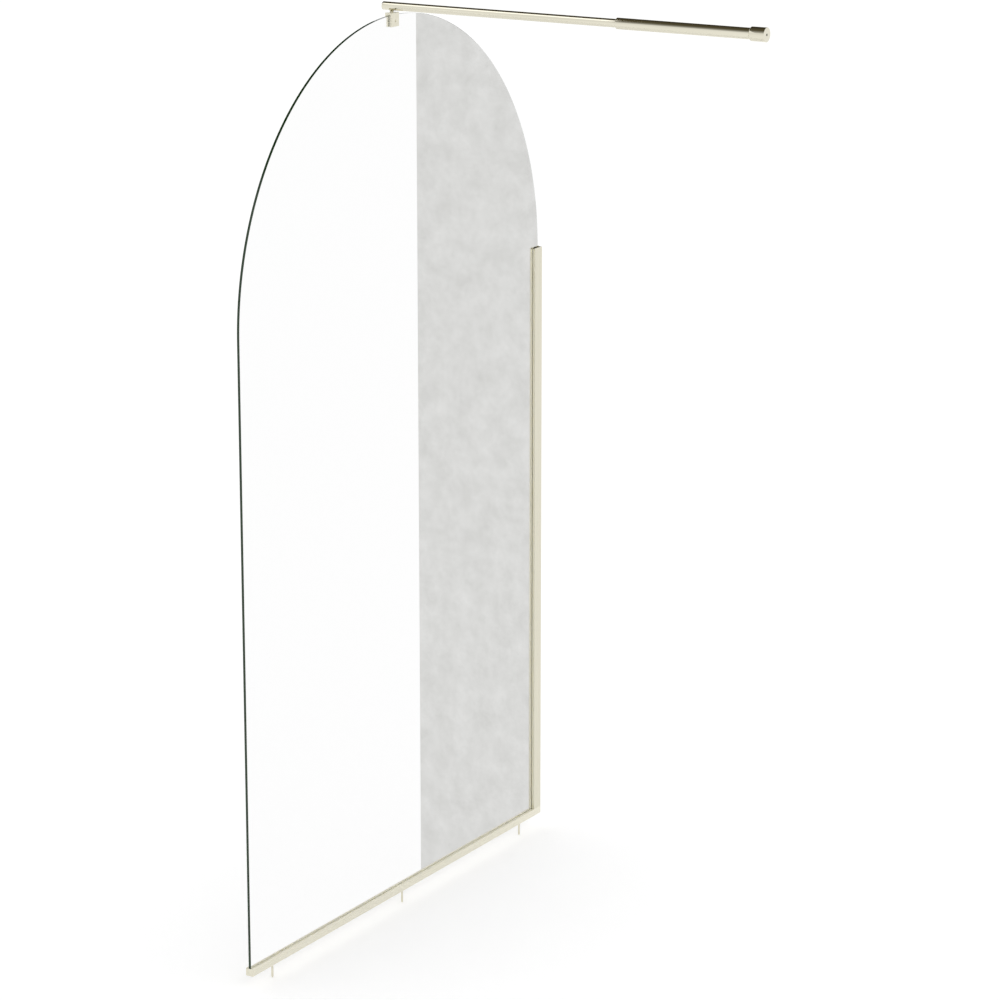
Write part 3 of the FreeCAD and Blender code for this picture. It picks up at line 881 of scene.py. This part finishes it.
def pale_floor():
    """A floor at the pins' tips; it glows a little where it shows, so it goes white but keeps the shadow."""
    level = cad_box[0].z
    half = FLOOR_SPAN / 2
    sheet = stage_sheet("floor", (-half, -half, level), (half, half, level))
    seen_only_by(sheet, "camera", "diffuse", "glossy", "shadow")
    material, tree = new_tree("pale_floor")
    matt = add(tree, "ShaderNodeBsdfDiffuse", {"Color": linear(FLOOR_COLOUR)})
    seen = shown_rays(tree, "Is Camera Ray", "Is Glossy Ray")
    strength = add(tree, "ShaderNodeMath", {0: seen, 1: FLOOR_GLOW}, operation="MULTIPLY")
    glow = add(tree, "ShaderNodeEmission", {"Strength": strength.outputs[0]})
    both = add(tree, "ShaderNodeAddShader", {0: matt.outputs[0], 1: glow.outputs[0]})
    add(tree, "ShaderNodeOutputMaterial", {"Surface": both.outputs[0]})
    sheet.data.materials.append(material)


def grey_card():
    """A mottled grey card far behind the wall end of the pane, which shows through the glass only."""
    sheet = stage_sheet("grey_card", CARD_LOW, CARD_HIGH)
    seen_only_by(sheet, "transmission")
    material, tree = new_tree("mottled_card")
    clouds = grain(tree, (CARD_CLOUD,) * 3, CLOUD_DETAIL, CLOUD_ROUGHNESS)
    spread = add(tree, "ShaderNodeMapRange", {
        "Value": clouds, "From Min": NOISE_LOW, "From Max": NOISE_HIGH})
    colour = add(tree, "ShaderNodeMix", {
        "Factor": spread.outputs[0], "A": linear(CARD_DARK), "B": linear(CARD_PALE)}, data_type="RGBA")
    glow = add(tree, "ShaderNodeEmission", {"Color": colour.outputs["Result"]})
    add(tree, "ShaderNodeOutputMaterial", {"Surface": glow.outputs[0]})
    sheet.data.materials.append(material)


def dark_flag():
    """A dark flag over the set, seen by mirrors only: it draws the dark line along the top of the tubes."""
    sheet = stage_sheet("dark_flag", (*FLAG_LOW, FLAG_HEIGHT), (*FLAG_HIGH, FLAG_HEIGHT))
    seen_only_by(sheet, "glossy")
    material, tree = new_tree("dark_cloth")
    place = add(tree, "ShaderNodeTexCoord").outputs["Object"]
    along = add(tree, "ShaderNodeSeparateXYZ", {"Vector": place}).outputs["X"]
    colour = linear(FLAG_DARK)
    for (start, end), tone in ((FLAG_DEEPENS, FLAG_DARKEST), (FLAG_FADES, WHITE)):
        share = add(tree, "ShaderNodeMapRange", {"Value": along, "From Min": start, "From Max": end})
        mixed = add(tree, "ShaderNodeMix", {
            "Factor": share.outputs[0], "A": colour, "B": linear(tone)}, data_type="RGBA")
        colour = mixed.outputs["Result"]
    glow = add(tree, "ShaderNodeEmission", {"Color": colour})
    add(tree, "ShaderNodeOutputMaterial", {"Surface": glow.outputs[0]})
    sheet.data.materials.append(material)


def mirrored_place(along, share, height):
    """Where a level sheet at this height meets the camera's ray that the thin tube mirrors.

    The ray strikes the tube at a place along Y, a share of the tube's height below its top.
    """
    start = bar_start("inner_tube")
    axis = Vector((start.x, along, start.z))
    eye = Vector(CAMERA_PLACE)
    to_eye = eye - axis
    tilt = math.atan2(to_eye.z, -to_eye.x) + math.asin(1 - 2 * share)
    normal = Vector((-math.cos(tilt), 0, math.sin(tilt)))
    touch = axis + normal * radius_of("inner_tube")
    ray = (touch - eye).reflect(normal)
    return touch + ray * ((height - touch.z) / ray.z)


def mirrored_card(name, shares, height, glow):
    """A white card, seen by mirrors only, cut to fill these shares of the thin tube's height, end to end."""
    first, last = shares
    steps = [first + (last - first) * step / CARD_STEPS for step in range(CARD_STEPS + 1)]
    clamp_end = bar_start("inner_tube_end_plug").y
    thick_end = bar_start("outer_tube").y
    corners = [mirrored_place(thick_end, share, height) for share in steps]
    corners += [mirrored_place(clamp_end, share, height) for share in reversed(steps)]
    sheet = closed(flat(name, corners))
    seen_only_by(sheet, "glossy")
    material, tree = new_tree(name)
    white = add(tree, "ShaderNodeEmission", {"Strength": glow})
    add(tree, "ShaderNodeOutputMaterial", {"Surface": white.outputs[0]})
    sheet.data.materials.append(material)


def mirrored_cards():
    """The bright card is the thin tube's white line; the white card keeps the flag out of what is below."""
    mirrored_card("bright_card", BRIGHT_SHARES, BRIGHT_HEIGHT, BRIGHT_GLOW)
    mirrored_card("white_card", WHITE_SHARES, WHITE_HEIGHT, WHITE_GLOW)


def key_light():
    lamp = bpy.data.lights.new("key_light", "AREA")
    lamp.size = KEY_SIZE
    lamp.energy = KEY_GLOW * math.pi * KEY_SIZE ** 2
    holder = bpy.data.objects.new("key_light", lamp)
    bpy.context.scene.collection.objects.link(holder)
    holder.location = KEY_PLACE
    middle = (cad_box[0] + cad_box[1]) / 2
    holder.rotation_euler = (middle - holder.location).to_track_quat("-Z", "Y").to_euler()


def white_world():
    """White where it shows, directly, mirrored or through the glass; a soft even light everywhere else."""
    world = bpy.data.worlds.new("white_world")
    bpy.context.scene.world = world
    world.use_nodes = True
    tree = world.node_tree
    tree.nodes.clear()
    seen = shown_rays(tree, "Is Camera Ray", "Is Glossy Ray", "Is Transmission Ray")
    strength = add(tree, "ShaderNodeMapRange", {"Value": seen, "To Min": AMBIENT, "To Max": 1.0})
    light = add(tree, "ShaderNodeBackground", {"Color": linear(WHITE), "Strength": strength.outputs[0]})
    add(tree, "ShaderNodeOutputWorld", {"Surface": light.outputs[0]})


def camera():
    lens = bpy.data.cameras.new("camera")
    lens.lens = FOCAL_SHARE * lens.sensor_width
    holder = bpy.data.objects.new("camera", lens)
    bpy.context.scene.collection.objects.link(holder)
    holder.location = CAMERA_PLACE
    holder.rotation_euler = (math.pi / 2 - CAMERA_ELEVATION, 0, CAMERA_AZIMUTH)
    bpy.context.scene.camera = holder


# Put together

def dress(piece, material, body, slot, *nodes):
    """Shade a finished piece, give it its material, hang it on the body that it rides on and hide the nodes
    that it stands for.
    """
    pick(piece)
    bpy.ops.object.shade_smooth_by_angle(angle=SMOOTH_ANGLE)
    piece.data.materials.append(material)
    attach(piece, body)
    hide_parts(*nodes)


def dress_pane(face_glass, rim_glass):
    """The rim gets the edge's own material; the arris stays as clear as the faces."""
    piece = pane()
    dress(piece, face_glass, "screen", "clear_glass", "glass_panel")
    piece.data.materials.append(rim_glass)
    for face in piece.data.polygons:
        face.material_index = 0 if abs(face.normal.y) > FACE_LEAN else 1
    piece.visible_shadow = False


tube_metal = coated_tube()
cast_metal = coated_casting()
screw_metal = plated_steel()
vinyl = vinyl_seal()
nylon = moulded_nylon()

dress_pane(toughened_glass(), glass_edge())
dress(wall_channel(), upright_extrusion(), "screen", "champagne_aluminium", "wall_channel")
dress(floor_channel(), level_extrusion_painted_paler(), "screen", "champagne_aluminium", "floor_channel")
dress(end_cap(), cast_metal, "screen", "champagne_aluminium", "floor_channel_end_cap")
for node, strip in seals():
    dress(strip, vinyl, "screen", "seal_rubber", node)
for node, pin in floor_pins():
    dress(pin, cast_metal, "screen", "champagne_steel", node)

dress(clamp_body(), cast_metal, "screen", "champagne_steel", "clamp_body")
dress(grub_screw("clamp_set_screw", "set_screw", -BACK, SET_SCREW_SOCKET), cast_metal,
      "screen", "plain_steel", "clamp_set_screw")
dress(clamp_pad("clamp_pad_front", "soft_pad_front"), vinyl, "screen", "seal_rubber", "clamp_pad_front")
dress(clamp_pad("clamp_pad_back", "soft_pad_back"), vinyl, "screen", "seal_rubber", "clamp_pad_back")
dress(washer(), nylon, "screen", "nylon", "swivel_washer")

dress(saddle(), cast_metal, "inner_bar", "champagne_steel", "tube_saddle")
dress(inner_tube(), tube_metal, "inner_bar", "champagne_steel", "inner_tube")
dress(end_plug(), cast_metal, "inner_bar", "champagne_steel", "inner_tube_end_plug")
dress(outer_tube(), tube_metal, "outer_bar", "champagne_steel", "outer_tube")
dress(bush(), nylon, "outer_bar", "nylon", "outer_tube_bush")
dress(grub_screw("tube_lock_screw", "lock_screw", -UP, LOCK_SCREW_SOCKET), screw_metal,
      "outer_bar", "plain_steel", "tube_lock_screw")
dress(flange(), tube_metal, "bar_flange", "champagne_steel", "wall_flange")
dress(grub_screw("flange_grub_screw", "flange_screw", -UP, FLANGE_SCREW_SOCKET), screw_metal,
      "bar_flange", "plain_steel", "flange_grub_screw")

# Nodes that keep their own shape
for node, material in (
        ("setting_block_free_end", nylon),
        ("setting_block_wall_end", nylon),
        ("inner_tube_guide", nylon),
        ("clamp_pressure_plate", screw_metal),
        ("swivel_pin", screw_metal)):
    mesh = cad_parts[node].data
    mesh.materials.clear()
    mesh.materials.append(material)

pale_floor()
grey_card()
dark_flag()
mirrored_cards()
key_light()
white_world()
camera()
bpy.context.scene.view_settings.view_transform = "Standard"
